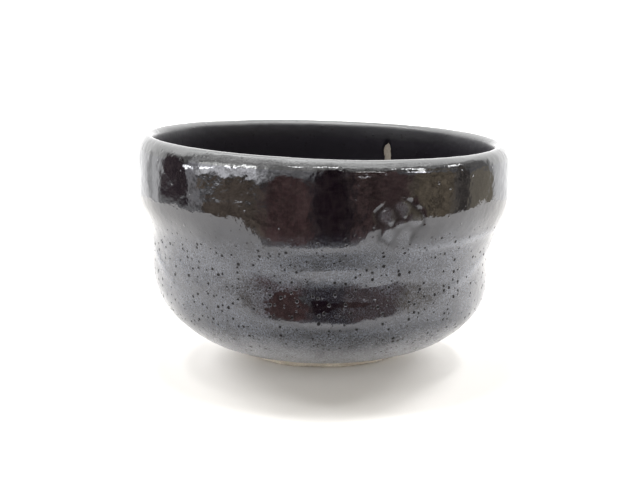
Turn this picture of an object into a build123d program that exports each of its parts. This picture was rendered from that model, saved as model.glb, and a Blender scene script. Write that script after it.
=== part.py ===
from build123d import *
import math
import os

# A hand-formed tea bowl: a pinched clay body on a luted foot ring, under three coats of glaze.
# Millimetres, +Z up, the foot stands on Z = 0 and the axis of the bowl is the Z axis.
# Angles are in degrees, anticlockwise from +X as seen from above, so the front is at -90.

LIP_HEIGHT = 72.7            # crest of the lip, mean round the turn
LIP_TILT = 1.6               # the crest stands this much higher on the left, lower on the right
LIP_DIP = 1.25               # and it is pressed down by this much near the front
LIP_DIP_ANGLE = -68.0        # where it dips most
LIP_DIP_REACH = 4.8          # on the outside the dip fades out this far below the crest
GLAZE = 0.7                  # thickness of a glaze coat

FOOT_RADIUS = 27.0           # outer side of the foot ring where it sits in the clay
FOOT_CONTACT_RADIUS = 26.4   # outer edge of the face it stands on
FOOT_INNER_RADIUS = 19.0
FOOT_SEAT_HEIGHT = 6.0       # roof of the recess, and top of the foot ring
FOOT_EDGE = 0.6              # softened edge round the recess side of the contact face
FOOT_LEAN_HEIGHT = 1.2       # the outer side leans in below this height

ROOT_RADIUS = 28.0           # where the glazed underside turns up to the foot
ROOT_HEIGHT = 1.9
POOL_RADIUS = 5.0            # flat bottom of the tea pool
POOL_HEIGHT = 10.6

# Glaze surface of the wall, from the foot up: radius on the right, back, left and front, height.
OUTER_WALL = [
    ((36.8, 37.2, 36.0, 39.4), 4.9),
    ((48.2, 48.5, 47.9, 51.3), 12.0),
    ((53.7, 54.5, 54.4, 57.6), 20.0),
    ((54.9, 56.1, 57.0, 57.8), 28.0),
    ((55.8, 56.5, 57.3, 57.5), 36.0),
    ((58.8, 58.1, 58.1, 59.0), 44.0),
    ((61.6, 61.2, 61.1, 61.8), 51.0),
    ((61.9, 61.8, 61.9, 61.4), 60.0),
]
# Outer half of the lip, up to the crest: radius as above, depth below the crest.
LIP_OUTSIDE = [
    ((61.5, 61.4, 61.4, 60.5), 4.8),
    ((60.1, 60.0, 60.1, 59.4), 1.7),
]
CREST_RADIUS = (57.9, 57.9, 58.0, 57.7)
# Inner half of the lip, down from the crest.
LIP_INSIDE = [
    ((56.0, 56.0, 56.1, 55.9), 0.9),
    ((55.3, 55.3, 55.4, 55.2), 2.7),
    ((55.0, 55.0, 55.1, 54.9), 6.0),
]
# The inside, from below the lip down to the tea pool: radius as above, height.
INNER_WALL = [
    ((55.2, 55.3, 55.4, 55.0), 56.0),
    ((52.4, 52.6, 52.6, 52.2), 45.0),
    ((49.6, 50.0, 50.4, 49.8), 34.0),
    ((47.0, 47.6, 48.0, 47.6), 23.0),
    ((40.4, 41.0, 41.2, 41.0), 15.8),
    ((30.0, 30.0, 30.0, 30.0), 13.0),
    ((18.0, 18.0, 18.0, 18.0), 12.0),
    ((11.0, 11.0, 11.0, 11.0), 11.2),
]
# Hollows left by the fingers: angle, height, depth, half-width in degrees, half-height.
# A depth below zero is a swelling.
DENTS = [
    (-82.0, 35.0, 1.9, 24.0, 8.0),
    (5.0, 33.0, 0.6, 30.0, 7.0),
    (-92.0, 43.5, -2.3, 24.0, 5.0),
    (-30.0, 49.0, 0.8, 17.0, 6.0),
    (-152.0, 48.0, 0.5, 20.0, 5.0),
]

# Bare streak inside the back wall, where the tongs held the bowl in the kiln.
TONG_ANGLE = 65.0
TONG_HEIGHT = 60.0
TONG_WIDTH = 3.0
TONG_LENGTH = 10.0
TONG_REACH = (50.0, 60.0)    # how near the axis and how far out the cut goes

RING_POINTS = 24             # points round each ring of the lofts


def around(sides, angle):
    """Blend four values, for the right, back, left and front, smoothly round the bowl."""
    right, back, left, front = sides
    turn = math.radians(angle)
    mean = (right + back + left + front) / 4
    across = (right - left) / 2 * math.cos(turn) + (back - front) / 2 * math.sin(turn)
    oval = (right + left - back - front) / 4 * math.cos(2 * turn)
    return mean + across + oval


def lip_height(angle):
    """Height of the lip's crest at an angle."""
    return LIP_HEIGHT - LIP_TILT * math.cos(math.radians(angle))


def lip_dip(angle):
    """How far the crest is pressed down at an angle."""
    near = (1 + math.cos(math.radians(angle - LIP_DIP_ANGLE))) / 2
    return LIP_DIP * near ** 2


def dent_depth(angle, height):
    """How far the fingers pressed the outer wall in at a place."""
    depth = 0.0
    for centre, level, deep, half_angle, half_height in DENTS:
        turn = (angle - centre + 180) % 360 - 180
        depth += deep * math.exp(-((turn / half_angle) ** 2) - ((height - level) / half_height) ** 2)
    return depth


def meridian(angle):
    """Radius and height of the glaze surface at one angle, from the foot over the lip to the pool."""
    shoulder = lip_height(angle)
    dip = lip_dip(angle)
    stations = [(ROOT_RADIUS, ROOT_HEIGHT)]
    for sides, height in OUTER_WALL:
        stations.append((around(sides, angle) - dent_depth(angle, height), height))
    for sides, depth in LIP_OUTSIDE:
        fade = (1 - depth / LIP_DIP_REACH) ** 2
        stations.append((around(sides, angle), shoulder - depth - dip * fade))
    for sides, depth in [(CREST_RADIUS, 0.0)] + LIP_INSIDE:
        stations.append((around(sides, angle), shoulder - depth - dip))
    for sides, height in INNER_WALL:
        stations.append((around(sides, angle), height))
    stations.append((POOL_RADIUS, POOL_HEIGHT))
    return stations


def ring_places(stations):
    """Places along a meridian's spline, 0 to 1: at each station and halfway to the next."""
    lengths = [0.0]
    for (r0, z0), (r1, z1) in zip(stations, stations[1:]):
        lengths.append(lengths[-1] + math.hypot(r1 - r0, z1 - z0))
    places = []
    for start, end in zip(lengths, lengths[1:]):
        places.append(start / lengths[-1])
        places.append((start + end) / 2 / lengths[-1])
    places.append(1.0)
    return places


def meridian_points(angle, inset):
    """Points up one meridian, moved into the wall by inset, standing at their angle."""
    stations = meridian(angle)
    curve = Edge.make_spline([Vector(r, 0, z) for r, z in stations])
    points = []
    for place in ring_places(stations):
        at = curve.position_at(place, position_mode=PositionMode.PARAMETER)
        along = curve.tangent_at(place, position_mode=PositionMode.PARAMETER)
        into_wall = Vector(-along.Z, 0, along.X)
        points.append((at + into_wall * inset).rotate(Axis.Z, angle))
    return points


def ring(points):
    """A closed smooth curve through points that stand at even angles round the axis."""
    places = [i / len(points) for i in range(len(points) + 1)]
    return Wire([Edge.make_spline(points, periodic=True, parameters=places)])


def round_ring(radius, height):
    """A level round ring on the bowl's axis."""
    start = Vector(radius, 0, height)
    return ring([start.rotate(Axis.Z, 360 * i / RING_POINTS) for i in range(RING_POINTS)])


def rings(inset):
    """Closed rings up the outside, over the lip and down the inside, inset into the wall."""
    meridians = [meridian_points(360 * i / RING_POINTS, inset) for i in range(RING_POINTS)]
    body = [ring(list(level)) for level in list(zip(*meridians))[1:-1]]
    root = round_ring(ROOT_RADIUS, ROOT_HEIGHT + inset)
    pool = round_ring(POOL_RADIUS, POOL_HEIGHT - inset)
    return [root] + body + [pool]


def skins(stack):
    """A stack's lofted faces: the outside, both halves of the lip and the inside."""
    lip_start = 2 * (1 + len(OUTER_WALL))
    crest = lip_start + 2 * len(LIP_OUTSIDE)
    lip_end = crest + 2 * len(LIP_INSIDE)
    outside = Shell.make_loft(stack[:lip_start + 1]).faces()
    lip = Shell.make_loft(stack[lip_start:crest + 1]).faces()
    lip += Shell.make_loft(stack[crest:lip_end + 1]).faces()
    inside = Shell.make_loft(stack[lip_end:]).faces()
    return outside, lip, inside, stack[lip_start], stack[lip_end]


def circle(radius, height):
    """A level circle on the bowl's axis, as the turned foot has."""
    return Wire([Edge.make_circle(radius, Plane.XY.offset(height))])


def band(first, second):
    """Straight faces from one ring to another."""
    return Shell.make_loft([first, second], ruled=True).faces()


def closed(*groups):
    """One solid from faces that meet edge to edge."""
    return Solid(Shell([face for group in groups for face in group]))


def tong_mark():
    """A block through the inner coat at the tong mark."""
    near, far = TONG_REACH
    block = Pos((near + far) / 2, 0, TONG_HEIGHT) * Box(far - near, TONG_WIDTH, TONG_LENGTH)
    return Rot(0, 0, TONG_ANGLE) * block


def foot_ring():
    """The turned foot: upright where it is luted in, leaning in towards the face it stands on."""
    profile = Polyline(
        (FOOT_RADIUS, FOOT_SEAT_HEIGHT),
        (FOOT_RADIUS, FOOT_LEAN_HEIGHT),
        (FOOT_CONTACT_RADIUS, 0),
        (FOOT_INNER_RADIUS + FOOT_EDGE, 0),
        (FOOT_INNER_RADIUS, FOOT_EDGE),
        (FOOT_INNER_RADIUS, FOOT_SEAT_HEIGHT),
        close=True,
    )
    return revolve(Plane.XZ * make_face(profile), Axis.Z)


def pottery():
    """The clay body and its coats, which meet face to face, by node name."""
    glaze = rings(0)
    clay = rings(GLAZE)
    glaze_out, glaze_lip, glaze_in, glaze_start, glaze_end = skins(glaze)
    clay_out, clay_lip, clay_in, clay_start, clay_end = skins(clay)

    coat_foot = circle(FOOT_RADIUS, ROOT_HEIGHT)
    clay_foot = circle(FOOT_RADIUS, ROOT_HEIGHT + GLAZE)
    seat_roof = circle(FOOT_RADIUS, FOOT_SEAT_HEIGHT)
    coat_end = band(glaze[0], coat_foot) + band(coat_foot, clay_foot)
    underside = band(clay_foot, clay[0])
    outer_join = band(glaze_start, clay_start)
    inner_join = band(glaze_end, clay_end)
    pool_face = [Face(clay[-1])]

    seat = band(clay_foot, seat_roof) + [Face(seat_roof)]
    body = closed(clay_out, clay_lip, clay_in, pool_face, underside, seat)
    outer = closed(glaze_out, clay_out, coat_end, underside, outer_join)
    lip = closed(glaze_lip, clay_lip, outer_join, inner_join)
    inner = closed(glaze_in, clay_in, [Face(glaze[-1])], pool_face, inner_join)
    return {
        "clay_bowl": body,
        "outer_glaze": outer,
        "lip_glaze": lip,
        "inner_glaze": inner - tong_mark(),
    }


def main():
    os.makedirs("parts", exist_ok=True)
    nodes = pottery()
    nodes["foot_ring"] = foot_ring()
    for name, shape in nodes.items():
        export_step(shape, f"parts/{name}.step")


main()
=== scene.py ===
import math

import bpy
import numpy as np
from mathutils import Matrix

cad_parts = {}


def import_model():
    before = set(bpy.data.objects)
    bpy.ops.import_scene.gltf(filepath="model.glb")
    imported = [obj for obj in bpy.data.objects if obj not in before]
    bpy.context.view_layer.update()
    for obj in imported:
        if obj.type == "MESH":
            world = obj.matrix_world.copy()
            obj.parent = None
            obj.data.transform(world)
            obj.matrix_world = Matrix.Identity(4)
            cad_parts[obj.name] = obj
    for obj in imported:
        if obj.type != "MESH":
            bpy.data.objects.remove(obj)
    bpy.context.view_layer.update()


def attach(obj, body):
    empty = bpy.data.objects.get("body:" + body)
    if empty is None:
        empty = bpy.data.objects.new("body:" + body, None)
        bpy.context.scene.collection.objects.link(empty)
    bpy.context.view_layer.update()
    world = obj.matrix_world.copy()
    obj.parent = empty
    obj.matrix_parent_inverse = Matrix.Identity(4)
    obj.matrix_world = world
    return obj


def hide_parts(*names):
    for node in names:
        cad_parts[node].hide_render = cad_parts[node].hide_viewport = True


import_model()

# The form of the bowl repeats the part's own stations, in millimetres, so that every coat lies on its
# CAD solid. Azimuths are in degrees, anticlockwise from +X as seen from above; the front is at -90.
MM = 0.001
TURN = 2 * math.pi
LIP_HEIGHT = 72.7                # crest of the lip before it tilts and dips
LIP_TILT = 1.6                   # the crest stands this much higher on the left, lower on the right
LIP_DIP = 1.25                   # and it is pressed down by this much near the front
LIP_DIP_ANGLE = -68.0            # where it dips most
LIP_DIP_REACH = 4.8              # on the outside the dip fades out this far below the crest
# Radius on the right, back, left and front, and height.
OUTER_WALL = [
    ((28.0, 28.0, 28.0, 28.0), 1.9),
    ((36.8, 37.2, 36.0, 39.4), 4.9),
    ((48.2, 48.5, 47.9, 51.3), 12.0),
    ((53.7, 54.5, 54.4, 57.6), 20.0),
    ((54.9, 56.1, 57.0, 57.8), 28.0),
    ((55.8, 56.5, 57.3, 57.5), 36.0),
    ((58.8, 58.1, 58.1, 59.0), 44.0),
    ((61.6, 61.2, 61.1, 61.8), 51.0),
    ((61.9, 61.8, 61.9, 61.4), 60.0),
]
# Radius as above, and depth below the crest.
LIP_OUTSIDE = [
    ((61.5, 61.4, 61.4, 60.5), 4.8),
    ((60.1, 60.0, 60.1, 59.4), 1.7),
]
LIP_INSIDE = [
    ((57.9, 57.9, 58.0, 57.7), 0.0),
    ((56.0, 56.0, 56.1, 55.9), 0.9),
    ((55.3, 55.3, 55.4, 55.2), 2.7),
    ((55.0, 55.0, 55.1, 54.9), 6.0),
]
# Radius as above, and height, down to the middle of the tea pool.
INNER_WALL = [
    ((55.2, 55.3, 55.4, 55.0), 56.0),
    ((52.4, 52.6, 52.6, 52.2), 45.0),
    ((49.6, 50.0, 50.4, 49.8), 34.0),
    ((47.0, 47.6, 48.0, 47.6), 23.0),
    ((40.4, 41.0, 41.2, 41.0), 15.8),
    ((30.0, 30.0, 30.0, 30.0), 13.0),
    ((18.0, 18.0, 18.0, 18.0), 12.0),
    ((11.0, 11.0, 11.0, 11.0), 11.2),
    ((5.0, 5.0, 5.0, 5.0), 10.6),
    ((0.1, 0.1, 0.1, 0.1), 10.5),
]
# Finger hollows, and one swelling: azimuth, height, depth, half-angle and half-height.
DENTS = [
    (-82.0, 35.0, 1.9, 24.0, 8.0),
    (5.0, 33.0, 0.6, 30.0, 7.0),
    (-92.0, 43.5, -2.3, 24.0, 5.0),
    (-30.0, 49.0, 0.8, 17.0, 6.0),
    (-152.0, 48.0, 0.5, 20.0, 5.0),
]
FOOT_RADIUS = 27.0
FOOT_CONTACT_RADIUS = 26.4
FOOT_INNER_RADIUS = 19.0
FOOT_SEAT_HEIGHT = 6.0

# The visual's own spacing and depths, in millimetres.
COLUMNS = 640                    # points round the bowl
ROW_STEP = 0.72                  # spacing of the rows up the outside
LIP_STEP = 0.4
INNER_STEP = 0.85
MARGIN = 0.30                    # the mean glaze surface lies this far inside the CAD's, for relief
RELIEF_MOST = 0.26               # most that the relief may stand out or sink
CLAY_DEPTH = 1.0                 # depth of the clay skin under the CAD's glaze surface
COAT_LEAST = 0.08                # thinnest a coat may be
COAT_OFFSET = 0.02               # the back of a coat stands this far outside the clay skin
BARE_SINK = 0.3                  # how far the glaze dives under the clay skin where it is bare
COAT_EDGE_HEIGHT = 2.1           # lower edge of the outside's coat, at the foot: its front
COAT_EDGE_BACK = 2.6             # and its back
COAT_EDGE_ROLL = 0.25            # how far that edge wanders up and down
CLAY_EDGE_HEIGHT = 2.62          # lower edge of the clay, at the foot
AZIMUTH = np.arange(COLUMNS) * TURN / COLUMNS

# Unevenness of the surface: strength, wavelength, seed, and its share on the lip and inside.
UNEVENNESS = [
    (0.060, 34.0, 11, 0.4),
    (0.032, 15.0, 12, 0.4),
    (0.014, 7.0, 13, 1.0),
    (0.008, 3.2, 14, 1.0),
]
# Bands across the front of the wall: relief, azimuth and half-angle, height and half-height.
BANDS = [
    (-0.12, -84.0, 24.0, 37.6, 2.4),
    (0.26, -93.0, 19.0, 43.6, 2.2),
]
# Soft ridges in the wall: start and end, each an azimuth and a height, and half-width.
RIDGES = [
    ((-12.0, 39.5), (-50.0, 27.5), 1.5),
    ((-8.0, 45.0), (-70.0, 42.6), 1.2),
    ((-172.0, 42.0), (-143.0, 28.0), 1.5),
]
RIDGE_RELIEF = 0.24
RIDGE_WALL = 57.0                # radius of the wall where the ridges are

STAMP_ANGLE = -69.0
STAMP_HEIGHT = 52.0
STAMP_WALL = 61.0                # radius of the wall where the seal is
STAMP_REACH = 8.2                # from the seal's middle to its edge
STAMP_SWELL = 9.9                # from its middle to the clay pushed up round it
STAMP_WANDER = 0.45              # how far its outlines wander
STAMP_DEPTH = 0.25
STAMP_RISE = 0.10
PETALS = 5
PETAL_TURN = 0.22 * TURN         # direction of the first petal, from the right
PETAL_REACH = 4.9                # from the seal's middle to the middle of a petal
PETAL_HIGHLIGHT_SHARE = 0.36               # strength of the painted highlight on the petals' tops, beside that on a ridge's crest
GROOVE_SHADE_SHARE = 0.55              # strength of the painted shade in the seal's pressed ground, as a share of a pinhole's darkness

TONG_ANGLE = 65.0
TONG_HEIGHT = 60.0
TONG_WALL = 55.0                 # radius of the wall where the tong mark is
TONG_WIDTH = 3.0
TONG_LENGTH = 10.0

# How the glaze shines: glossy outside, satin inside, and with little shine in its pinholes and, as
# painted shade, in the seal's grooves.
GLAZE_IOR = 1.84
GLAZE_TINT = {"outside": (0.93, 0.94, 1.0), "lip": (0.97, 0.98, 0.98), "inside": (0.94, 0.90, 1.0)}
GLOSS_ROUGHNESS = 0.045
SATIN_ROUGHNESS = 0.42
GLOSS_SPECULAR = 0.5
SATIN_SPECULAR = 0.09
HOLE_SPECULAR = 0.2              # what is left of the shine in a pinhole
SATIN_REACH = (56.3, 55.5)       # on the lip, gloss turns to satin between these radii
PINHOLES = (1.6, 0.66, 0.4)      # spacing, greatest radius and blur
PIMPLES = (3.8, 0.6, 0.9)        # the same of the small bumps
# Colours of the glaze.
BLACK = (0.0018, 0.0014, 0.0018)
BLACK_WORN = (0.0085, 0.0072, 0.0070)
SATIN_BLACK = (0.0092, 0.0080, 0.0116)
# Dark of a pinhole; the seal's grooves are darkened towards it as painted shade.
HOLE_AND_GROOVE_SHADE_BLACK = (0.0040, 0.0032, 0.0030)
# Grey bloom: partly the glaze's own haze, partly painted reflection of the pale table, lightened and
# tinted blue like it.
BLOOM_AND_REFLECTION_GREY = (0.084, 0.094, 0.118)
# Painted highlight: a paler grey along the ridges' crests and on the seal's petals.
RIDGE_HIGHLIGHT_GREY = (0.14, 0.15, 0.175)
ASH_GREY = (0.25, 0.255, 0.275)
ASH_PALE = (0.44, 0.45, 0.48)
# Painted reflection: low on the front the bloom is left out, so that a dark reflection shows there:
# centre and radii in mm, overlapping into one patch.
DARK_REFLECTION_SPOTS = [
    ((-11.2, -56.5, 26.8), (7.0, 8.0, 5.4)),
    ((-2.0, -57.3, 27.0), (5.0, 8.0, 2.0)),
    ((7.5, -56.2, 27.6), (6.0, 8.0, 0.9)),
]
# Painted reflection: round that patch the bloom is thinned to about a third: centre and radii in mm.
DARK_REFLECTION_FRONT = ((4.0, -56.5, 26.5), (20.0, 14.0, 7.5))

# The room that the glaze mirrors. Turns are degrees from the front, rightwards; heights are in mm.
ROOM_REACH = 330.0               # distance of its wall from the axis
TABLE_EDGE = 150.0               # the pale table ends this near in front
TABLE_RIM = 30.0                 # width of the dimmer rim of the table in front
TABLE_GLOW = 0.62
LID_GLOW = 6.0
# Brightness of the wall and ceiling in front: heights, and the brightness there.
CEILING = ((0, 190, 205, 240, 400, 520, 800), (0.5, 0.5, 1.1, 1.2, 2.5, 3.6, 5.0))
LAMPLIT_CEILING = ((0, 190, 205, 240, 270, 520, 800), (0.5, 0.5, 1.1, 1.2, 3.1, 3.6, 5.0))
# Dark and pale shapes that stand in the room: left, right, top, softness of the sides, and shade.
ROOM_SHAPES = [
    (-106, -80, 145, 4, (0.16, 0.12, 0.14)),
    (-73, -31, 59, 3, (0.46, 0.37, 0.29)),
    (-81, -73, 260, 2, (1.6, 1.6, 1.65)),
    (-81, -73, 55, 2, (0.9, 0.88, 0.88)),
    (-64, -31, 71, 3, (0.46, 0.37, 0.29)),
    (-33, -3, 112, 5, (0.34, 0.20, 0.19)),
    (12, 49, 180, 6, (0.29, 0.185, 0.175)),
    (47, 79, 175, 6, (0.58, 0.48, 0.34)),
    (79, 90, 160, 4, (0.22, 0.20, 0.18)),
    (90, 112, 92, 3, (0.75, 0.68, 0.54)),
    (-5, 15, 205, 5, (0.05, 0.025, 0.04)),
]
# Ceiling lamps: the line that they hang along, and the left and right end of each.
LAMP_TURNS = (-88, -67, -43, -17, 0, 20, 45, 60, 90)
LAMP_HEIGHTS = (88, 108, 172, 236, 262, 252, 212, 188, 200)
LAMPS = [(-83, -77), (-71, -61), (-57, -37), (-17, -8), (-4, 2), (5, 12), (38, 43), (47, 61), (77, 88)]

TABLE_COLOUR = (0.88, 0.87, 0.855)
LAMP_DISTANCE = 3.0
# Soft lamps over the table: name, azimuth, elevation, half-angle, and share of the table's brightness.
SOFT_LAMPS = [
    ("lamp_back_right", 45, 30, 14, 0.35),
    ("lamp_back_left", 140, 30, 14, 0.41),
    ("lamp_high_right", 50, 54, 5, 0.25),
    ("lamp_high_left", 130, 54, 5, 0.18),
    ("lamp_top", 100, 72, 6, 0.41),
]
WORLD_COLOUR = (1.0, 0.96, 0.89)

CAMERA_PLACE = (-0.0013, -0.450, 0.1169)
CAMERA_DOWN = 10.04              # degrees that it looks below level
CAMERA_LENS = 76.5
CAMERA_SENSOR = 36.0


def around(sides):
    """Blend four values, for the right, back, left and front, smoothly round the bowl."""
    right, back, left, front = sides
    mean = (right + back + left + front) / 4
    across = (right - left) / 2 * np.cos(AZIMUTH) + (back - front) / 2 * np.sin(AZIMUTH)
    return mean + across + (right + left - back - front) / 4 * np.cos(2 * AZIMUTH)


def turn_from(degrees):
    """Signed angle from a direction to each azimuth, in degrees."""
    return (np.degrees(AZIMUTH) - degrees + 180) % 360 - 180


def ease(value, low, high):
    """0 below low, 1 above high, smooth between."""
    x = np.clip((value - low) / (high - low), 0, 1)
    return x * x * (3 - 2 * x)


def band(value, start, end, soft, soft_end=None):
    """1 from start to end and 0 outside, eased by soft to both sides of each, or soft_end at the end."""
    soft_end = soft_end or soft
    return ease(value, start - soft, start + soft) * (1 - ease(value, end - soft_end, end + soft_end))


def waves(places, wavelength, seed, count=28):
    """A smooth random field of unit strength, with bumps of about one wavelength."""
    draw = np.random.default_rng(seed)
    ways = draw.normal(size=(count, 3))
    ways /= np.linalg.norm(ways, axis=1, keepdims=True)
    lengths = wavelength * draw.uniform(0.7, 1.4, count)
    phases = draw.uniform(0, TURN, count)
    field = np.zeros(places.shape[:-1])
    for way, length, phase in zip(ways, lengths, phases):
        field += np.sin(places @ way * (TURN / length) + phase)
    return field / math.sqrt(count / 2)


def ring_at(radius, height, angle=AZIMUTH):
    """A row of points round the axis."""
    x, y = radius * np.cos(angle), radius * np.sin(angle)
    return np.stack([x, y, height * np.ones(len(angle))], axis=-1)


def dent_depth(height):
    """How far the fingers pressed the outer wall in at a height."""
    depth = 0.0
    for centre, level, deep, half_angle, half_height in DENTS:
        turn = turn_from(centre) / half_angle
        depth = depth + deep * np.exp(-turn ** 2 - ((height - level) / half_height) ** 2)
    return depth


def stations():
    """Radius and height round the bowl at each station, up the outside and down the inside."""
    shoulder = LIP_HEIGHT - LIP_TILT * np.cos(AZIMUTH)
    dip = LIP_DIP * ((1 + np.cos(AZIMUTH - math.radians(LIP_DIP_ANGLE))) / 2) ** 2
    radii = []
    heights = []
    for sides, height in OUTER_WALL:
        radii.append(around(sides) - dent_depth(height))
        heights.append(np.full(COLUMNS, height))
    for sides, depth in LIP_OUTSIDE:
        radii.append(around(sides))
        heights.append(shoulder - depth - dip * (1 - depth / LIP_DIP_REACH) ** 2)
    for sides, depth in LIP_INSIDE:
        radii.append(around(sides))
        heights.append(shoulder - depth - dip)
    for sides, height in INNER_WALL:
        radii.append(around(sides))
        heights.append(np.full(COLUMNS, height))
    return np.array(radii), np.array(heights)


def smooth_through(places, values, wanted):
    """Natural cubic spline through rows of values, read at the wanted places."""
    count = len(places)
    gap = np.diff(places)
    matrix = np.eye(count)
    bend = np.zeros_like(values)
    for i in range(1, count - 1):
        matrix[i, i - 1:i + 2] = gap[i - 1], 2 * (gap[i - 1] + gap[i]), gap[i]
        bend[i] = 6 * ((values[i + 1] - values[i]) / gap[i] - (values[i] - values[i - 1]) / gap[i - 1])
    moment = np.linalg.solve(matrix, bend)
    k = np.clip(np.searchsorted(places, wanted) - 1, 0, count - 2)
    width = gap[k][:, None]
    low = (places[k + 1] - wanted)[:, None] / width
    high = (wanted - places[k])[:, None] / width
    curve = (low ** 3 - low) * moment[k] + (high ** 3 - high) * moment[k + 1]
    return low * values[k] + high * values[k + 1] + curve * width ** 2 / 6


def form():
    """Rows of points up the outside, over the lip and down to the pool, and where the coats part."""
    radii, heights = stations()
    steps = np.hypot(np.diff(radii.mean(1)), np.diff(heights.mean(1)))
    places = np.concatenate([[0], np.cumsum(steps)])
    lip_start = places[len(OUTER_WALL)]
    lip_end = places[len(OUTER_WALL) + len(LIP_OUTSIDE) + len(LIP_INSIDE) - 1]
    up = np.linspace(0, lip_start, round(lip_start / ROW_STEP))
    over = np.linspace(lip_start, lip_end, round((lip_end - lip_start) / LIP_STEP))
    down = np.linspace(lip_end, places[-1], round((places[-1] - lip_end) / INNER_STEP))
    wanted = np.concatenate([up, over[1:], down[1:]])
    radius = smooth_through(places, radii, wanted)
    height = smooth_through(places, heights, wanted)
    points = np.stack([radius * np.cos(AZIMUTH), radius * np.sin(AZIMUTH), height], axis=-1)
    return points, len(up) - 1, len(up) + len(over) - 2


def normals_of(points):
    """Outward unit normals of a grid of rows that close round the bowl."""
    round_way = np.roll(points, -1, axis=1) - np.roll(points, 1, axis=1)
    up_way = np.gradient(points, axis=0)
    normal = np.cross(round_way, up_way)
    return normal / np.maximum(np.linalg.norm(normal, axis=-1, keepdims=True), 1e-9)


points, lip_row, inner_row = form()
base_normals = normals_of(points)
row_number = np.arange(len(points))[:, None]
on_wall = row_number < lip_row
place_height = points[..., 2]


def crease(start, end, width):
    """1 along a line on the wall from start to end, each an azimuth and a height."""
    along = np.array([math.radians(end[0] - start[0]) * RIDGE_WALL, end[1] - start[1]])
    across = np.radians(turn_from(start[0])) * RIDGE_WALL
    up = place_height - start[1]
    share = np.clip((across * along[0] + up * along[1]) / (along @ along), 0, 1)
    off = np.hypot(across - share * along[0], up - share * along[1])
    fade = np.sin(math.pi * np.clip(share * 0.9 + 0.05, 0, 1))
    return np.exp(-(off / width) ** 2) * fade


def hand_relief(crests):
    """Relief of the hand-formed surface: unevenness, orange peel, finger bands and ridges."""
    relief = np.zeros(place_height.shape)
    for strength, wavelength, seed, inner_share in UNEVENNESS:
        relief += strength * waves(points, wavelength, seed) * np.where(on_wall, 1.0, inner_share)
    for strength, centre, half_angle, height, half_height in BANDS:
        sideways = np.exp(-(turn_from(centre) / half_angle) ** 4)
        relief += on_wall * strength * sideways * np.exp(-((place_height - height) / half_height) ** 2)
    relief += on_wall * RIDGE_RELIEF * crests
    return RELIEF_MOST * np.tanh(relief / RELIEF_MOST)


def plum_stamp():
    """A small seal pressed in round five petals: its ground, its petals, and the clay pushed up round."""
    across = np.radians(turn_from(STAMP_ANGLE)) * STAMP_WALL + STAMP_WANDER * waves(points, 4.5, 61)
    up = place_height - STAMP_HEIGHT + STAMP_WANDER * waves(points, 4.5, 62)
    reach = np.hypot(across, up)
    pads = 1 - ease(reach, 0.8, 2.2)
    for petal in range(PETALS):
        turn = TURN * petal / PETALS + PETAL_TURN
        away = np.hypot(across - PETAL_REACH * math.cos(turn), up - PETAL_REACH * math.sin(turn))
        pads = np.maximum(pads, 1 - ease(away, 1.5, 3.0))
    edge = STAMP_REACH + 0.6 * np.cos(PETALS * (np.arctan2(up, across) - PETAL_TURN))
    uneven = on_wall * np.clip(0.8 + 0.3 * waves(points, 6.0, 63), 0.35, 1.25)
    field = uneven * (1 - ease(reach - edge, -1.1, 0.9))
    swell = uneven * np.exp(-((reach - STAMP_SWELL) / 1.4) ** 2)
    return field * (1 - 0.85 * pads), field * pads, swell


def tong_opening():
    """1 inside the bare streak at the tong mark, 0 outside."""
    across = np.radians(turn_from(TONG_ANGLE)) * TONG_WALL / (TONG_WIDTH / 2)
    up = (place_height - TONG_HEIGHT) / (TONG_LENGTH / 2)
    ragged = 0.18 * waves(points, 2.6, 21)
    inside = row_number > inner_row
    return inside * (1 - ease(np.abs(across) ** 2.2 + np.abs(up) ** 3 + ragged, 0.35, 1.45))


crests = np.max([crease(*ridge) for ridge in RIDGES], axis=0)
groove, petals, swell = plum_stamp()
sink = MARGIN - np.minimum(hand_relief(crests) + STAMP_RISE * swell, RELIEF_MOST) + STAMP_DEPTH * groove
sink += (CLAY_DEPTH + BARE_SINK - sink) * tong_opening()
surface = points - base_normals * sink[..., None]
surface_normals = normals_of(surface)
backs = points - base_normals * np.maximum(CLAY_DEPTH - COAT_OFFSET, sink + COAT_LEAST)[..., None]


def mesh_object(name, vertices, faces, normals=None):
    """A smooth-shaded mesh object from arrays, with its own normals where they are given."""
    mesh = bpy.data.meshes.new(name)
    mesh.vertices.add(len(vertices))
    mesh.vertices.foreach_set("co", (vertices * MM).astype(np.float32).ravel())
    corners = np.concatenate([np.asarray(f, dtype=np.int32).ravel() for f in faces])
    sizes = np.concatenate([np.full(len(f), f.shape[1], dtype=np.int32) for f in faces])
    mesh.loops.add(len(corners))
    mesh.loops.foreach_set("vertex_index", corners)
    mesh.polygons.add(len(sizes))
    mesh.polygons.foreach_set("loop_start", np.concatenate([[0], np.cumsum(sizes)[:-1]]).astype(np.int32))
    mesh.polygons.foreach_set("use_smooth", np.ones(len(sizes), dtype=bool))
    mesh.update(calc_edges=True)
    mesh.validate()
    if normals is not None:
        mesh.normals_split_custom_set_from_vertices(normals.tolist())
    obj = bpy.data.objects.new(name, mesh)
    bpy.context.scene.collection.objects.link(obj)
    return obj


def row_quads(rows, columns, closed=False):
    """Quads between rows of points that close round the bowl."""
    below = np.arange(rows if closed else rows - 1)[:, None] * columns
    above = (below + columns) % (rows * columns)
    here = np.arange(columns)[None]
    after = (here + 1) % columns
    return np.stack([below + here, below + after, above + after, above + here], axis=-1).reshape(-1, 4)


def fan(row, centre):
    """Triangles from a closed row of points to a centre."""
    return np.stack([row, np.roll(row, -1), np.full(len(row), centre)], axis=-1)


def end_fans(rows, columns):
    """Fans that close the first and the last row, to two centres numbered after all the rows."""
    row = np.arange(columns)
    return [fan(row[::-1], rows * columns), fan((rows - 1) * columns + row, rows * columns + 1)]


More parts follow.
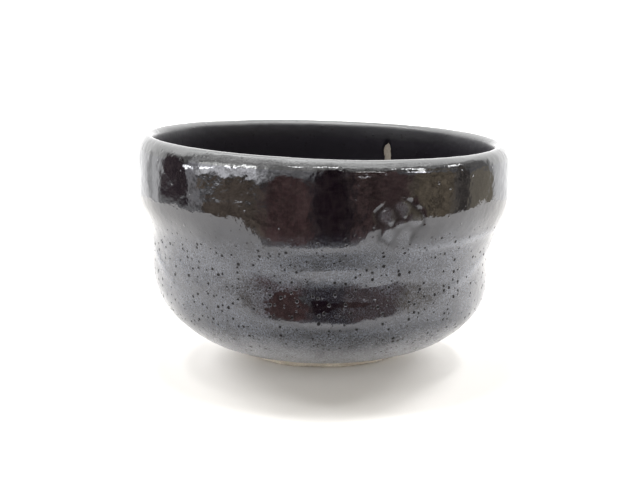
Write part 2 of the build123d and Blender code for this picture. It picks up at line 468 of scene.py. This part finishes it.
def with_centres(loop):
    """The points of all rows, then the middles of the first and the last row."""
    return np.concatenate([loop.reshape(-1, 3), [loop[0].mean(0), loop[-1].mean(0)]])


def ring_coat(name, front, front_normals, back):
    """A coat that runs round the bowl: front skin, back skin and both edges, closed as a loop of rows."""
    loop = np.concatenate([front, back[::-1]])
    normals = np.concatenate([front_normals, -normals_of(back)[::-1]]).reshape(-1, 3)
    return mesh_object(name, loop.reshape(-1, 3), [row_quads(len(loop), COLUMNS, closed=True)], normals)


def cup_coat(name, front, front_normals, back):
    """A coat that covers the floor too: both skins end in a centre on the axis."""
    loop = np.concatenate([back[::-1], front])
    normals = np.concatenate([-normals_of(back)[::-1], front_normals]).reshape(-1, 3)
    normals = np.concatenate([normals, [[0, 0, -1.0], [0, 0, 1.0]]])
    faces = [row_quads(len(loop), COLUMNS), *end_fans(len(loop), COLUMNS)]
    return mesh_object(name, with_centres(loop), faces, normals)


def back_rows(first, last, step):
    """The back skin of a coat, which can be coarser than its front."""
    return backs[np.unique(np.append(np.arange(first, last, step), last))]


def outer_coat():
    """The outside's coat, with its lower edge rolled unevenly against the foot."""
    edge = COAT_EDGE_HEIGHT + COAT_EDGE_ROLL * waves(ring_at(FOOT_RADIUS, 2.0), 9.0, 31)
    front = np.concatenate([[ring_at(FOOT_RADIUS, edge)], surface[:lip_row + 1]])
    back = np.concatenate([[ring_at(FOOT_RADIUS, COAT_EDGE_BACK)], back_rows(0, lip_row, 12)])
    return ring_coat("outer_glaze_coat", front, normals_of(front), back)


def lip_coat():
    """The coat rolled over the lip."""
    part = slice(lip_row, inner_row + 1)
    back = back_rows(lip_row, inner_row, 6)
    return ring_coat("lip_glaze_coat", surface[part], surface_normals[part], back)


def inner_coat():
    """The coat inside the well."""
    back = back_rows(inner_row, len(points) - 1, 10)
    return cup_coat("inner_glaze_coat", surface[inner_row:], surface_normals[inner_row:], back)


def mark(coat, name, share):
    """Keep a number from 0 to 1 at each point of the outer coat's front, above its rolled edge."""
    values = np.zeros(len(coat.data.vertices), dtype=np.float32)
    values[COLUMNS:COLUMNS * (lip_row + 2)] = np.clip(share[:lip_row + 1].ravel(), 0, 1)
    coat.data.attributes.new(name, "FLOAT", "POINT").data.foreach_set("value", values)


def clay_body():
    """The clay under the glaze, with the carved recess inside the foot, seen from below."""
    radii = np.concatenate([np.linspace(0.3, FOOT_RADIUS - 0.01, 70), [FOOT_RADIUS, FOOT_RADIUS]])
    heights = np.full(len(radii), FOOT_SEAT_HEIGHT)
    heights[-1] = CLAY_EDGE_HEIGHT
    recess = np.stack([ring_at(r, z) for r, z in zip(radii, heights)])
    carved = 1 - ease(radii, FOOT_INNER_RADIUS - 3.0, FOOT_INNER_RADIUS - 0.5)
    spiral = np.cos(radii[:, None] * 1.9 - AZIMUTH[None] + 0.3 * waves(recess, 9.0, 41))
    peak = np.exp(-(radii / 2.6) ** 2)
    recess[..., 2] += carved[:, None] * (0.25 * spiral + 0.1) - 1.5 * peak[:, None]
    recess[..., 2] += carved[:, None] * 0.05 * waves(recess, 2.4, 42)
    skin = points - base_normals * CLAY_DEPTH
    kept = np.unique(np.append(np.arange(0, len(points) - 1, 2), len(points) - 1))
    loop = np.concatenate([recess, skin[kept]])[:, ::2]
    faces = [row_quads(*loop.shape[:2]), *end_fans(*loop.shape[:2])]
    return mesh_object("clay_body", with_centres(loop), faces)


def turned_foot():
    """The foot ring: trimmed with a blade, so it is a little uneven, and worn where it stands."""
    outline = [
        (FOOT_RADIUS, FOOT_SEAT_HEIGHT), (FOOT_RADIUS, 4.0), (FOOT_RADIUS, 2.4),
        (FOOT_RADIUS - 0.05, 1.2), (FOOT_RADIUS - 0.3, 0.5), (FOOT_CONTACT_RADIUS - 0.1, 0.12),
        (FOOT_CONTACT_RADIUS - 0.5, 0.0), (24.5, 0.0), (22.5, 0.0), (20.6, 0.0),
        (FOOT_INNER_RADIUS + 0.8, 0.05), (FOOT_INNER_RADIUS + 0.3, 0.35),
        (FOOT_INNER_RADIUS + 0.05, 1.0), (FOOT_INNER_RADIUS, 2.5), (FOOT_INNER_RADIUS, 4.2),
        (FOOT_INNER_RADIUS, FOOT_SEAT_HEIGHT), (23.0, FOOT_SEAT_HEIGHT),
    ]
    share = np.arange(6) / 6
    loop = []
    for (r0, z0), (r1, z1) in zip(outline, outline[1:] + outline[:1]):
        loop += [ring_at(r, z) for r, z in zip(r0 + (r1 - r0) * share, z0 + (z1 - z0) * share)]
    loop = np.stack(loop)
    outward = -normals_of(np.concatenate([loop[-1:], loop, loop[:1]]))[1:-1]
    visible = 1 - ease(loop[..., 2], 2.6, 4.5)
    uneven = 0.10 * waves(loop, 11.0, 51) + 0.05 * waves(loop, 2.2, 52) - 0.22
    loop = loop + outward * (visible * np.minimum(uneven, 0))[..., None]
    loop[..., 2] = np.maximum(loop[..., 2], 0.0)
    return mesh_object("turned_foot", loop.reshape(-1, 3), [row_quads(len(loop), COLUMNS, closed=True)])


def set_range(node, *numbers):
    """Set what a Map Range node maps from and to."""
    for name, number in zip(("From Min", "From Max", "To Min", "To Max"), numbers):
        node.inputs[name].default_value = number


def is_socket(value):
    """True for a node's output, False for a number or a colour."""
    return hasattr(value, "node")


class Surface:
    """A material under construction: small helpers over its node tree."""

    def __init__(self, name):
        self.material = bpy.data.materials.new(name)
        self.material.use_nodes = True
        self.nodes = self.material.node_tree.nodes
        self.links = self.material.node_tree.links
        self.shader = self.nodes["Principled BSDF"]
        self.place = self.nodes.new("ShaderNodeTexCoord").outputs["Object"]

    def feed(self, socket, value):
        """Link an output to a socket, or set the socket to a number."""
        if is_socket(value):
            self.links.new(value, socket)
        else:
            socket.default_value = value

    def noise(self, size, detail=2.0, roughness=0.5):
        """Soft noise with lumps of about size mm."""
        node = self.nodes.new("ShaderNodeTexNoise")
        node.inputs["Scale"].default_value = 1 / (size * MM)
        node.inputs["Detail"].default_value = detail
        node.inputs["Roughness"].default_value = roughness
        self.links.new(self.place, node.inputs["Vector"])
        return node.outputs["Fac"]

    def spots(self, spacing, radius, blur=0.5):
        """1 in round spots about spacing mm apart, up to radius mm in size and most of them small."""
        node = self.nodes.new("ShaderNodeTexVoronoi")
        node.inputs["Scale"].default_value = 1 / (spacing * MM)
        self.links.new(self.place, node.inputs["Vector"])
        pick = self.nodes.new("ShaderNodeSeparateColor")
        self.links.new(node.outputs["Color"], pick.inputs["Color"])
        size = self.reckon("POWER", pick.outputs["Red"], 1.5)
        size = self.add(self.times(size, radius / spacing), 0.03)
        reach = self.reckon("DIVIDE", node.outputs["Distance"], size)
        return self.ramp(reach, 1.0, 1.0 - blur)

    def kept(self, name):
        """A number that the mesh keeps at each point."""
        node = self.nodes.new("ShaderNodeAttribute")
        node.attribute_name = name
        return node.outputs["Fac"]

    def ramp(self, value, start, end, low=0.0, high=1.0):
        """Map a value from start..end to low..high, smoothly and no further."""
        if not is_socket(value):
            return float(low + (high - low) * ease(value, start, end))
        node = self.nodes.new("ShaderNodeMapRange")
        node.interpolation_type = "SMOOTHSTEP"
        self.links.new(value, node.inputs["Value"])
        set_range(node, start, end, low, high)
        return node.outputs["Result"]

    def reckon(self, operation, first, second):
        """Join two values, at least one of them a node's output, by a sum."""
        node = self.nodes.new("ShaderNodeMath")
        node.operation = operation
        self.feed(node.inputs[0], first)
        self.feed(node.inputs[1], second)
        return node.outputs["Value"]

    def add(self, first, second):
        """Add two values."""
        return self.reckon("ADD", first, second)

    def times(self, first, second):
        """Multiply two values."""
        return self.reckon("MULTIPLY", first, second)

    def mix(self, share, first, second):
        """Blend two colours; with a plain 0 or 1 it is simply one of them."""
        if not is_socket(share):
            return second if share else first
        node = self.nodes.new("ShaderNodeMix")
        node.data_type = "RGBA"
        self.links.new(share, node.inputs["Factor"])
        for socket, colour in ((node.inputs[6], first), (node.inputs[7], second)):
            self.feed(socket, colour if is_socket(colour) else (*colour, 1.0))
        return node.outputs[2]

    def height(self):
        """Height above the table, in mm."""
        node = self.nodes.new("ShaderNodeSeparateXYZ")
        self.links.new(self.place, node.inputs["Vector"])
        return self.times(node.outputs["Z"], 1 / MM)

    def vector(self, value, operation, numbers=(0, 0, 0)):
        """Do a sum on a vector."""
        node = self.nodes.new("ShaderNodeVectorMath")
        node.operation = operation
        self.links.new(value, node.inputs[0])
        node.inputs[1].default_value = numbers
        return node.outputs["Value" if operation == "LENGTH" else "Vector"]

    def away(self, centre, radii):
        """Distance from a centre in mm, counted in radii; an infinite radius leaves its axis out."""
        shift = self.vector(self.place, "SUBTRACT", [c * MM for c in centre])
        scaled = self.vector(shift, "MULTIPLY", [1 / (r * MM) for r in radii])
        return self.vector(scaled, "LENGTH")

    def bump(self, *terms):
        """Turn a relief, given as values and their strengths in mm, into the shader's normal."""
        relief, *others = [self.times(value, strength) for value, strength in terms]
        for other in others:
            relief = self.add(relief, other)
        node = self.nodes.new("ShaderNodeBump")
        node.inputs["Strength"].default_value = 1.0
        node.inputs["Distance"].default_value = MM
        self.links.new(relief, node.inputs["Height"])
        self.links.new(node.outputs["Normal"], self.shader.inputs["Normal"])


def bloom_cover(s, level):
    """How far the grey bloom covers the glaze: clouded, fading upwards, left out in one patch low on the
    front and thinned round it as a painted dark reflection.
    """
    cloud = s.ramp(s.noise(6.0, 3.0), 0.3, 0.6, 0.55, 1.0)
    bloom = s.times(s.ramp(level, 59.5, 46.5), cloud)
    ragged = s.times(s.noise(1.6, 3.0), 1.1)
    # Painted reflection: no bloom in one patch low on the front, and thinner bloom round it.
    for centre, radii in DARK_REFLECTION_SPOTS:
        bloom = s.times(bloom, s.ramp(s.add(s.away(centre, radii), ragged), 1.40, 1.60))
    return s.times(bloom, s.ramp(s.away(*DARK_REFLECTION_FRONT), 0.75, 1.15, 0.35, 1.0))


def bloomed(s, black):
    """The outside's colour with bloom that is partly painted reflection, ash, a painted highlight on the
    crests and painted shade in the seal's grooves; its roughness, pinholes and the parts without shine.
    """
    patch = s.noise(14.0, 3.0)
    level = s.add(s.height(), s.times(patch, 14.0))  # height in mm, made to wander
    fine = s.noise(0.5, 3.0, 0.65)
    bloom = bloom_cover(s, level)
    specks = s.ramp(fine, 0.38, 0.68, 0.15, 1.0)
    # The bloom's grey is partly painted reflection of the pale table.
    colour = s.mix(s.times(bloom, specks), black, BLOOM_AND_REFLECTION_GREY)
    ash = s.ramp(s.add(s.height(), s.times(patch, 8.0)), 22.5, 7.5)
    colour = s.mix(ash, colour, s.mix(specks, ASH_GREY, ASH_PALE))
    # Painted highlight: the ridges' crests and the petals' tops turn a paler grey.
    crest = s.times(s.kept("crest"), s.ramp(fine, 0.3, 0.6, 0.4, 0.85))
    colour = s.mix(crest, colour, RIDGE_HIGHLIGHT_GREY)
    rough = s.add(s.times(bloom, 0.20), GLOSS_ROUGHNESS)
    holes = s.times(s.spots(*PINHOLES), s.ramp(level, 60.0, 49.0))
    # Pinholes, and the seal's grooves as painted shade, lose their shine.
    return colour, rough, holes, s.reckon("MAXIMUM", holes, s.kept("pressed"))


def black_glaze(name, side):
    """Black raku glaze: clear and glossy outside, with a grey bloom low down that is partly painted
    reflection, and satin inside.
    """
    s = Surface(name)
    if side == "lip":
        satin = s.ramp(s.away((0, 0, 0), (1, 1, math.inf)), *SATIN_REACH)
    else:
        satin = float(side == "inside")
    colour = SATIN_BLACK
    if side != "inside":
        tone = s.ramp(s.noise(2.4, 4.0, 0.7), 0.35, 0.70)
        colour = s.mix(satin, s.mix(tone, BLACK, BLACK_WORN), SATIN_BLACK)
    if side == "outside":
        colour, rough, holes, dull_and_groove_shade = bloomed(s, colour)
    else:
        rough = s.ramp(satin, 0.0, 1.0, GLOSS_ROUGHNESS, SATIN_ROUGHNESS)
        holes = s.times(s.spots(*PINHOLES), s.ramp(s.noise(11.0, 1.0), 0.48, 0.56, 0.0, 0.3))
        dull_and_groove_shade = holes
    s.shader.inputs["IOR"].default_value = GLAZE_IOR
    s.shader.inputs["Specular Tint"].default_value = (*GLAZE_TINT[side], 1)
    specular = s.ramp(satin, 0.0, 1.0, GLOSS_SPECULAR, SATIN_SPECULAR)
    # Pinholes lose shine and darken; outside, the seal's grooves do too, as painted shade.
    specular = s.times(s.ramp(dull_and_groove_shade, 0.0, 1.0, 1.0, HOLE_SPECULAR), specular)
    s.feed(s.shader.inputs["Specular IOR Level"], specular)
    s.feed(s.shader.inputs["Base Color"], s.mix(dull_and_groove_shade, colour, HOLE_AND_GROOVE_SHADE_BLACK))
    s.feed(s.shader.inputs["Roughness"], s.add(s.times(dull_and_groove_shade, 0.3), rough))
    s.bump((s.noise(5.5, 1.0), 0.075), (s.noise(2.2, 1.0), 0.060), (s.noise(0.9, 2.0), 0.026),
           (holes, -0.10), (s.spots(*PIMPLES), 0.10))
    return s.material


def bare_clay():
    """Fired raku clay: buff and porous, with sand in it, and rubbed darker in places."""
    s = Surface("bare_clay")
    grain = s.noise(0.7, 4.0, 0.7)
    body = s.mix(s.ramp(s.noise(7.0, 3.0), 0.35, 0.65), (0.38, 0.34, 0.29), (0.50, 0.46, 0.40))
    body = s.mix(s.ramp(grain, 0.35, 0.7, 0.0, 0.5), body, (0.26, 0.22, 0.18))
    sand = s.spots(1.4, 0.35, 0.3)
    s.feed(s.shader.inputs["Base Color"], s.mix(sand, body, (0.62, 0.57, 0.48)))
    s.feed(s.shader.inputs["Roughness"], s.ramp(grain, 0.3, 0.7, 0.75, 0.95))
    s.bump((grain, 0.10), (sand, 0.05))
    return s.material


outer = outer_coat()
# Painted shade: the seal's pressed ground is darkened and loses shine like a pinhole.
mark(outer, "pressed", groove * GROOVE_SHADE_SHARE)
# The ridges' crests and the petals' tops are kept as the mask of a painted highlight.
mark(outer, "crest", np.maximum(crests, PETAL_HIGHLIGHT_SHARE * petals))
clay = bare_clay()
pieces = [
    (outer, "outer_glaze", "outer_glaze", black_glaze("outer_black_glaze", "outside")),
    (lip_coat(), "lip_glaze", "lip_glaze", black_glaze("lip_black_glaze", "lip")),
    (inner_coat(), "inner_glaze", "inner_glaze", black_glaze("inner_black_glaze", "inside")),
    (clay_body(), "clay_bowl", "clay", clay),
    (turned_foot(), "foot_ring", "clay", clay),
]
for piece, node, slot, material in pieces:
    piece.data.materials.append(material)
    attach(piece, "root")
    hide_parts(node)


def room_shape(turn, height, left, right, top, soft):
    """1 inside a shape that stands in the room, with a rounded top."""
    middle = (left + right) / 2
    crown = top * (1 - 0.35 * np.abs((turn - middle) / (right - left) * 2) ** 3)
    return band(turn, left, right, soft) * (1 - ease(height, crown * 0.9, crown * 1.1))


def room_light(turn, height):
    """How bright the room is: dim in front under a bright ceiling, pale at the sides and behind."""
    ceiling = np.interp(height, *CEILING)
    lamplit = np.interp(height, *LAMPLIT_CEILING)
    ceiling = ceiling + (lamplit - ceiling) * ease(turn, 5, 20)
    behind = ease(np.abs(turn - 3), 104, 114)
    glow = ceiling * (1 - behind) + (2.1 + 1.2 * ease(height, 150, 350)) * behind
    glow = glow + 2.0 * (1 - behind) * (1 - ease(turn, -96, -76)) * ease(height, 155, 195)
    # On the left there is a window, with a sloping sill and head, in a pale wall.
    left = band(turn, -76.5, -34, 2.5, 4)
    glow = glow + 0.8 * left * band(height, 100, 360, 20, 60)
    glow = glow + 0.5 * band(turn, -33, -3, 3) * ease(height, 100, 130)
    sill = 63 + (turn + 75) * 0.45
    head = 148 + (turn + 75) * 1.6
    window = left * band(height, sill, head, 4, 12)
    glow = glow * (1 - window) + 3.4 * window
    # A dimmer post stands behind the bowl's left side.
    return glow - 1.0 * np.exp(-((turn + 121) / 4.5) ** 2) * (1 - ease(height, 90, 130))


def ceiling_lamps(turn, height):
    """Light of the lamps that hang in a row, and of one lower lamp."""
    line = np.interp(turn, LAMP_TURNS, LAMP_HEIGHTS)
    lit = sum(band(turn, start, end, 1) for start, end in LAMPS)
    low_lamp = np.exp(-((height - 150) / 8.0) ** 2) * band(turn, 17, 31.5, 1, 1.5)
    return 15.0 * np.exp(-((height - line) / 9.0) ** 2) * lit + 8.0 * low_lamp


def room_glow(turn, height):
    """Brightness and colour of the room round the table, by direction from the front and height."""
    colour = np.repeat(room_light(turn, height)[..., None], 3, axis=-1)
    for left, right, top, soft, shade in ROOM_SHAPES:
        share = room_shape(turn, height, left, right, top, soft)[..., None]
        colour = colour * (1 - share) + np.array(shade) * share
    # A pale strip runs low along the left side.
    strip = (band(turn, -109, -71, 3) * (1 - ease(height, 12, 28)))[..., None]
    colour = colour * (1 - strip) + 0.8 * strip
    return colour + ceiling_lamps(turn, height)[..., None]


def glow_material():
    """Plain light in the colours that the mesh keeps."""
    material = bpy.data.materials.new("room_glow")
    material.use_nodes = True
    nodes = material.node_tree.nodes
    links = material.node_tree.links
    nodes.clear()
    attribute = nodes.new("ShaderNodeVertexColor")
    attribute.layer_name = "glow"
    emission = nodes.new("ShaderNodeEmission")
    output = nodes.new("ShaderNodeOutputMaterial")
    links.new(attribute.outputs["Color"], emission.inputs["Color"])
    links.new(emission.outputs["Emission"], output.inputs["Surface"])
    return material


def room_card():
    """What the glaze mirrors: a room round the pale table, whose edge is near in front."""
    turns = np.arange(0, 360, 1.0)
    angle = np.radians(turns - 90)
    facing = (turns + 180) % 360 - 180
    near = np.interp(facing, (-50, -36, 18, 45), (0, 1, 1, 0))
    edge = ROOM_REACH - 1 - near * (ROOM_REACH - 1 - TABLE_EDGE)
    levels = np.concatenate([np.arange(0, 420, 5.0), np.arange(420, 1001, 40.0)])
    rings = [ring_at(edge - TABLE_RIM * near, 0.5, angle), ring_at(edge, 0.5, angle)]
    rings += [ring_at(ROOM_REACH, max(level, 0.5), angle) for level in levels]
    rings = np.stack(rings)
    levels = np.concatenate([[0.0, 0.0], levels])
    vertices = np.concatenate([rings.reshape(-1, 3), [[0, 0, levels[-1]]]])
    centre = len(vertices) - 1
    lid = fan(np.arange(centre - len(turns), centre), centre)
    faces = [row_quads(len(levels), len(turns)), lid]
    card = mesh_object("room_card", vertices, faces)
    turn, height = np.meshgrid(facing, levels)
    mottle = (0.30 * waves(rings, 30.0, 71) + 0.25 * waves(rings, 13.0, 72)).clip(-0.6, 0.8)
    mottle = 1 + mottle * (1 - ease(np.abs(turn), 84, 96))
    values = np.ones((len(vertices), 4))
    values[:-1, :3] = (room_glow(turn, height) * mottle[..., None]).reshape(-1, 3)
    values[:len(turns), :3] = TABLE_GLOW
    values[-1, :3] = LID_GLOW
    glow = card.data.color_attributes.new("glow", "FLOAT_COLOR", "POINT")
    glow.data.foreach_set("color", values.astype(np.float32).ravel())
    card.data.materials.append(glow_material())
    card.visible_camera = False
    card.visible_diffuse = False
    card.visible_shadow = False
    card.visible_transmission = False
    return card


def floor_plane():
    """The pale table."""
    bpy.ops.mesh.primitive_circle_add(vertices=96, radius=2.0, fill_type="NGON")
    floor = bpy.context.object
    floor.name = "floor"
    material = bpy.data.materials.new("white_table")
    material.use_nodes = True
    shader = material.node_tree.nodes["Principled BSDF"]
    shader.inputs["Base Color"].default_value = (*TABLE_COLOUR, 1)
    shader.inputs["Roughness"].default_value = 0.9
    shader.inputs["Specular IOR Level"].default_value = 0.0
    floor.data.materials.append(material)
    return floor


room_card()
floor_plane()


def soft_lamp(name, azimuth, elevation, half_angle, share):
    """A round lamp; share is what it adds to the brightness of the table."""
    turn = math.radians(azimuth)
    up = math.sin(math.radians(elevation))
    flat = math.cos(math.radians(elevation))
    data = bpy.data.lights.new(name, "AREA")
    data.shape = "DISK"
    data.size = 2 * LAMP_DISTANCE * math.tan(math.radians(half_angle))
    data.energy = share / TABLE_COLOUR[1] * (math.pi * LAMP_DISTANCE) ** 2 / up
    lamp = bpy.data.objects.new(name, data)
    way = (flat * math.cos(turn), flat * math.sin(turn), up)
    lamp.location = [LAMP_DISTANCE * part for part in way]
    lamp.rotation_euler = (math.radians(90 - elevation), 0, turn + math.pi / 2)
    bpy.context.scene.collection.objects.link(lamp)


def world():
    """A white tent, brightest round the horizon and behind the bowl."""
    space = bpy.data.worlds.new("white_tent")
    space.use_nodes = True
    nodes = space.node_tree.nodes
    links = space.node_tree.links
    place = nodes.new("ShaderNodeTexCoord")
    split = nodes.new("ShaderNodeSeparateXYZ")
    links.new(place.outputs["Generated"], split.inputs["Vector"])
    fade = nodes.new("ShaderNodeMapRange")
    fade.interpolation_type = "SMOOTHSTEP"
    links.new(split.outputs["Z"], fade.inputs["Value"])
    set_range(fade, 0.25, 0.42, 4.6, 0.15)
    behind = nodes.new("ShaderNodeMapRange")
    links.new(split.outputs["Y"], behind.inputs["Value"])
    set_range(behind, -0.7, 0.2, 0.60, 1.22)
    both = nodes.new("ShaderNodeMath")
    both.operation = "MULTIPLY"
    links.new(fade.outputs["Result"], both.inputs[0])
    links.new(behind.outputs["Result"], both.inputs[1])
    background = nodes["Background"]
    background.inputs["Color"].default_value = (*WORLD_COLOUR, 1)
    links.new(both.outputs["Value"], background.inputs["Strength"])
    bpy.context.scene.world = space


def camera():
    """Looks a little down on the bowl from the front."""
    data = bpy.data.cameras.new("camera")
    data.sensor_width = CAMERA_SENSOR
    data.lens = CAMERA_LENS
    data.clip_start = 0.01
    eye = bpy.data.objects.new("camera", data)
    eye.location = CAMERA_PLACE
    eye.rotation_euler = (math.radians(90 - CAMERA_DOWN), 0, 0)
    bpy.context.scene.collection.objects.link(eye)
    bpy.context.scene.camera = eye


for lamp in SOFT_LAMPS:
    soft_lamp(*lamp)
world()
camera()
bpy.context.scene.view_settings.view_transform = "Standard"
